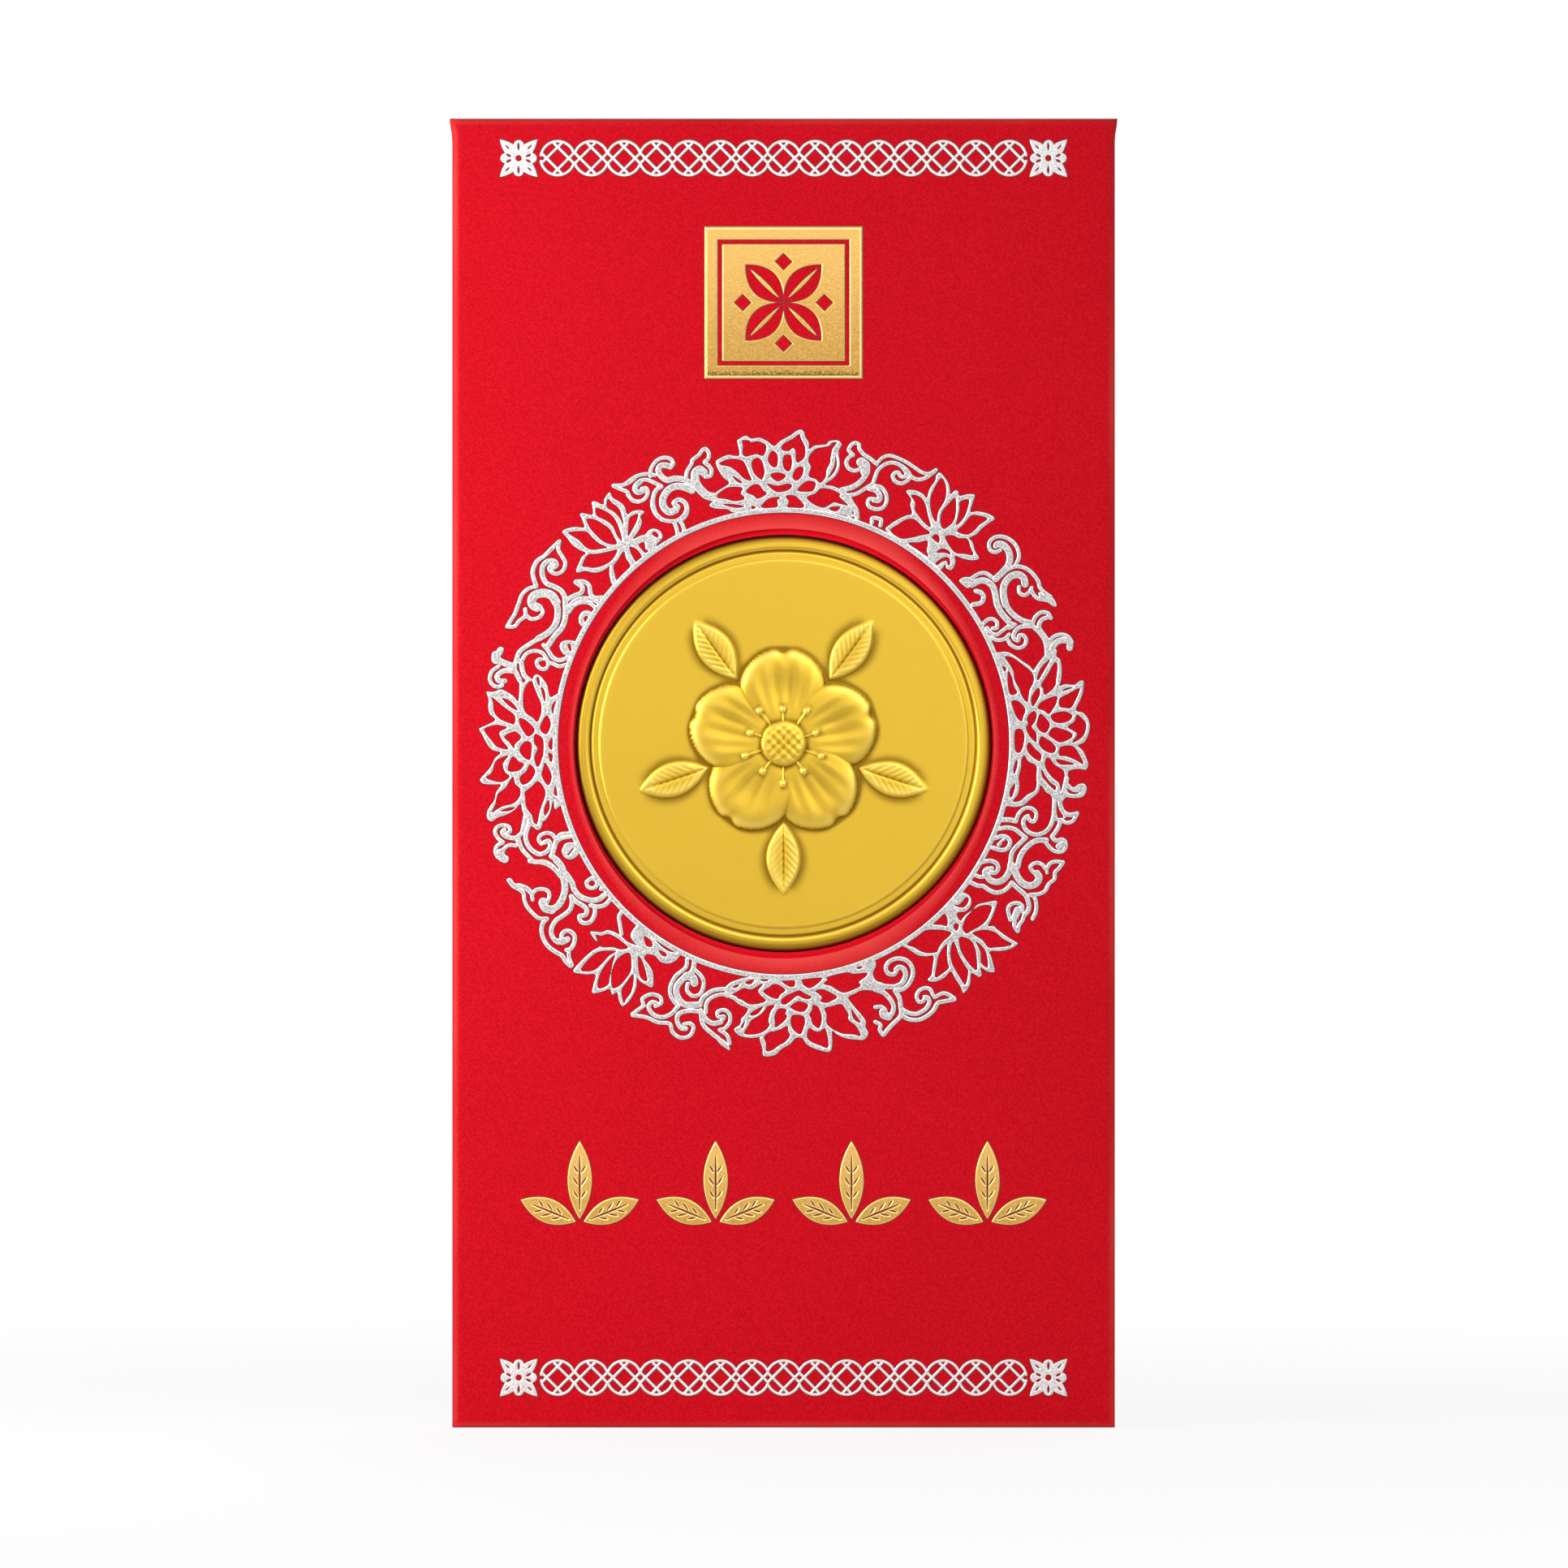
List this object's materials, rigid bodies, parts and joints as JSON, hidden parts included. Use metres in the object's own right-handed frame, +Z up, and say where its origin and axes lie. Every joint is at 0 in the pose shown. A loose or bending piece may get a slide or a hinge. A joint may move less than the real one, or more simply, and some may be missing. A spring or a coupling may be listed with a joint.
{
  "type": "red gift envelope",
  "caption": "Tall red card envelope with a round window that holds a gold blossom coin, a silver lotus wreath and lattice borders, and a folding top strip and closing flap.",
  "frame": {"origin": "middle of the foot, on the surface that the envelope stands on", "axes": "+X to the right of the front, +Y from the front to the back, +Z up"},
  "size_m": [0.081, 0.0062, 0.16],
  "materials": {
    "red_card": "matte grained",
    "red_board": "matte",
    "backing_card": "matte",
    "tape": "matte",
    "foam": "matte",
    "gold_coin": "satin",
    "gold_foil": "satin foil",
    "silver_foil": "satin foil"
  },
  "bodies": {
    "envelope": {"front_panel": "red_card", "left_wall": "red_card", "right_wall": "red_card", "bottom_wall": "red_card", "back_panel": "red_card", "left_glue_flap": "red_card", "right_glue_flap": "red_card", "coin_insert": "red_board", "insert_backing": "backing_card", "insert_tape": "tape", "coin_foam_pad": "foam", "square_foil": "gold_foil", "greeting_foil": "gold_foil", "top_border_foil": "silver_foil", "bottom_border_foil": "silver_foil", "wreath_foil": "silver_foil"},
    "top_strip": {"top_strip": "red_card"},
    "closure_flap": {"closure_flap": "red_card"},
    "coin": {"coin": "gold_coin"}
  },
  "joints": [
    {"name": "top_strip_crease", "type": "hinge", "parent": "envelope", "child": "top_strip", "pos_m": [0, -0.00198, 0.16], "axis": [1, 0, 0], "range_deg": [0, 90]},
    {"name": "flap_crease", "type": "hinge", "parent": "top_strip", "child": "closure_flap", "pos_m": [0, 0.00308, 0.159], "axis": [1, 0, 0], "range_deg": [0, 90]},
    {"name": "coin_lift", "type": "slide", "parent": "envelope", "child": "coin", "axis": [0, -1, 0], "range_m": [0, 0.03]}
  ]
}
